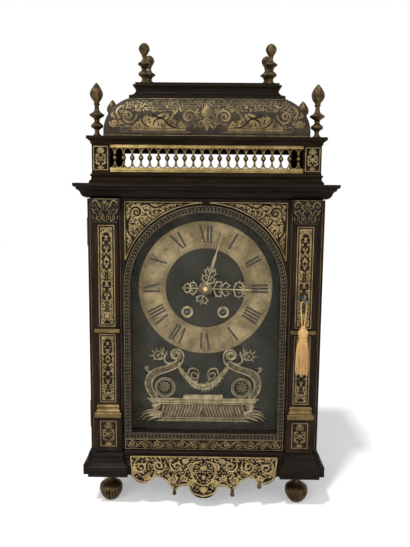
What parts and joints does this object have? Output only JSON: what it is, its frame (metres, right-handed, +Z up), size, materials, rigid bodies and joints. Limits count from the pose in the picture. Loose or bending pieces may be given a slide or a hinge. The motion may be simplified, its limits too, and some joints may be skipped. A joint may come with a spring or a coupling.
{
  "type": "religieuse clock",
  "caption": "Ebonised table clock with arched glazed door, brass dial work, balustrade gallery, bombe dome, finials and striking movement.",
  "frame": {"origin": "on the floor under the middle of the case", "axes": "+Z up, the dial faces -Y, +X to the right of someone who reads the dial"},
  "size_m": [0.325, 0.1703, 0.598],
  "materials": {
    "ebonised_wood": "polished black",
    "inlaid_wood": "brass inlay on black",
    "plain_wood": "planed oak",
    "gilt_brass": "worn gilt",
    "movement_brass": "brushed",
    "steel": "dark polished",
    "dial_cloth_plate": "matt dark",
    "glass": "clear",
    "silk": "silk thread"
  },
  "bodies": {
    "case": {"plinth": "ebonised_wood", "feet": "gilt_brass", "case_sides": "ebonised_wood", "case_floor": "ebonised_wood", "top_board": "ebonised_wood", "main_cornice": "ebonised_wood", "gallery_base": "ebonised_wood", "gallery_frame": "ebonised_wood", "gallery_rails": "gilt_brass", "balusters": "gilt_brass", "gallery_cornice": "ebonised_wood", "dome": "inlaid_wood", "plateau": "ebonised_wood", "corner_finials": "gilt_brass", "top_finials": "gilt_brass", "apron": "gilt_brass", "case_hinges": "movement_brass", "dial_frame": "plain_wood", "dial_plate": "dial_cloth_plate", "chapter_ring": "gilt_brass", "winding_collars": "gilt_brass", "dial_mount": "gilt_brass", "seat_board": "plain_wood", "movement_plates": "movement_brass", "pillars": "movement_brass", "back_cock": "movement_brass", "bell": "movement_brass"},
    "front_door": {"door_frame": "ebonised_wood", "door_glass": "glass", "bezel": "gilt_brass", "brass_veneers": "gilt_brass", "pilasters": "ebonised_wood", "capitals": "gilt_brass", "pilaster_mounts": "gilt_brass", "door_hinges": "movement_brass", "lock_case": "steel"},
    "lock_bolt": {"lock_bolt": "steel"},
    "key": {"key": "steel"},
    "tassel": {"tassel_cord": "silk", "tassel": "silk"},
    "back_door": {"back_door": "ebonised_wood", "back_hinges": "movement_brass"},
    "back_button": {"back_button": "movement_brass"},
    "minute_hand": {"minute_hand": "gilt_brass", "cannon_pinion": "movement_brass"},
    "hour_hand": {"hour_hand": "gilt_brass", "hour_wheel": "movement_brass"},
    "minute_wheel": {"minute_wheel": "movement_brass"},
    "escape_wheel": {"escape_wheel": "movement_brass"},
    "third_wheel": {"third_wheel": "movement_brass"},
    "centre_wheel": {"centre_wheel": "movement_brass"},
    "going_barrel": {"going_barrel": "movement_brass"},
    "going_winder": {"going_winder": "steel"},
    "strike_barrel": {"strike_barrel": "movement_brass"},
    "strike_winder": {"strike_winder": "steel"},
    "strike_wheel": {"strike_wheel": "movement_brass"},
    "hammer": {"hammer": "steel"},
    "pendulum": {"pendulum_rod": "steel", "pendulum_bob": "movement_brass"},
    "anchor": {"anchor": "steel"}
  },
  "joints": [
    {"name": "front_door_hinge", "type": "hinge", "parent": "case", "child": "front_door", "pos_m": [-0.1502, -0.05235, 0.24], "axis": [0, 0, -1], "range_deg": [0, 100]},
    {"name": "key_turn", "type": "hinge", "parent": "front_door", "child": "key", "pos_m": [0.1215, -0.0685, 0.281], "axis": [0, 1, 0], "range_deg": [0, 90]},
    {"name": "lock_bolt_slide", "type": "slide", "parent": "front_door", "child": "lock_bolt", "axis": [1, 0, 0], "range_m": [0, 0.005]},
    {"name": "tassel_swing", "type": "hinge", "parent": "key", "child": "tassel", "pos_m": [0.1215, -0.0895, 0.275], "axis": [0, 1, 0], "range_deg": [-60, 60]},
    {"name": "back_door_hinge", "type": "hinge", "parent": "case", "child": "back_door", "pos_m": [-0.138, 0.0705, 0.24], "axis": [0, 0, 1], "range_deg": [0, 110]},
    {"name": "back_button_turn", "type": "hinge", "parent": "case", "child": "back_button", "pos_m": [0.143, 0.0685, 0.281], "axis": [0, 1, 0], "range_deg": [0, 90]},
    {"name": "minute_hand_turn", "type": "hinge", "parent": "case", "child": "minute_hand", "pos_m": [0, -0.0585, 0.288], "axis": [0, 1, 0], "continuous": true},
    {"name": "hour_hand_turn", "type": "hinge", "parent": "case", "child": "hour_hand", "pos_m": [0, -0.0555, 0.288], "axis": [0, 1, 0], "continuous": true},
    {"name": "minute_wheel_turn", "type": "hinge", "parent": "case", "child": "minute_wheel", "pos_m": [-0.0192, -0.0385, 0.288], "axis": [0, 1, 0], "continuous": true},
    {"name": "escape_wheel_turn", "type": "hinge", "parent": "case", "child": "escape_wheel", "pos_m": [0, -0.0165, 0.33017], "axis": [0, 1, 0], "continuous": true},
    {"name": "third_wheel_turn", "type": "hinge", "parent": "case", "child": "third_wheel", "pos_m": [-0.014, -0.0085, 0.31068], "axis": [0, 1, 0], "continuous": true},
    {"name": "centre_wheel_turn", "type": "hinge", "parent": "case", "child": "centre_wheel", "pos_m": [0, 0.0055, 0.288], "axis": [0, 1, 0], "continuous": true},
    {"name": "going_barrel_turn", "type": "hinge", "parent": "case", "child": "going_barrel", "pos_m": [0.0235, -0.0085, 0.2563], "axis": [0, 1, 0], "continuous": true},
    {"name": "going_winder_turn", "type": "hinge", "parent": "case", "child": "going_winder", "pos_m": [0.0235, -0.0085, 0.2563], "axis": [0, 1, 0], "range_deg": [0, 1440]},
    {"name": "strike_barrel_turn", "type": "hinge", "parent": "case", "child": "strike_barrel", "pos_m": [-0.0235, -0.0085, 0.2563], "axis": [0, 1, 0], "continuous": true},
    {"name": "strike_winder_turn", "type": "hinge", "parent": "case", "child": "strike_winder", "pos_m": [-0.0235, -0.0085, 0.2563], "axis": [0, 1, 0], "range_deg": [0, 1440]},
    {"name": "strike_wheel_turn", "type": "hinge", "parent": "case", "child": "strike_wheel", "pos_m": [-0.037, -0.0085, 0.29338], "axis": [0, 1, 0], "continuous": true},
    {"name": "hammer_lift", "type": "hinge", "parent": "case", "child": "hammer", "pos_m": [-0.04, -0.0105, 0.322], "axis": [0, -1, 0], "range_deg": [0, 10], "stiffness_Nm_per_rad": 0.01, "springref_deg": -5.73},
    {"name": "pendulum_swing", "type": "hinge", "parent": "case", "child": "pendulum", "pos_m": [0, 0.0255, 0.35017], "axis": [0, 1, 0], "range_deg": [-4, 4]},
    {"name": "anchor_rock", "type": "hinge", "parent": "case", "child": "anchor", "pos_m": [0, -0.0085, 0.34517], "axis": [0, 1, 0], "range_deg": [-4.6, 4.6]}
  ],
  "couplings": [
    {"joint": "key_turn", "follows": "lock_bolt_slide", "rad_per_m": 314},
    {"joint": "hour_hand_turn", "follows": "minute_hand_turn", "ratio": 0.083333},
    {"joint": "minute_wheel_turn", "follows": "minute_hand_turn", "ratio": -0.33333},
    {"joint": "third_wheel_turn", "follows": "escape_wheel_turn", "ratio": -0.090909},
    {"joint": "centre_wheel_turn", "follows": "escape_wheel_turn", "ratio": 0.0075758},
    {"joint": "going_barrel_turn", "follows": "escape_wheel_turn", "ratio": -0.00094697},
    {"joint": "strike_wheel_turn", "follows": "strike_barrel_turn", "ratio": -8},
    {"joint": "anchor_rock", "follows": "pendulum_swing", "ratio": 1.137}
  ]
}
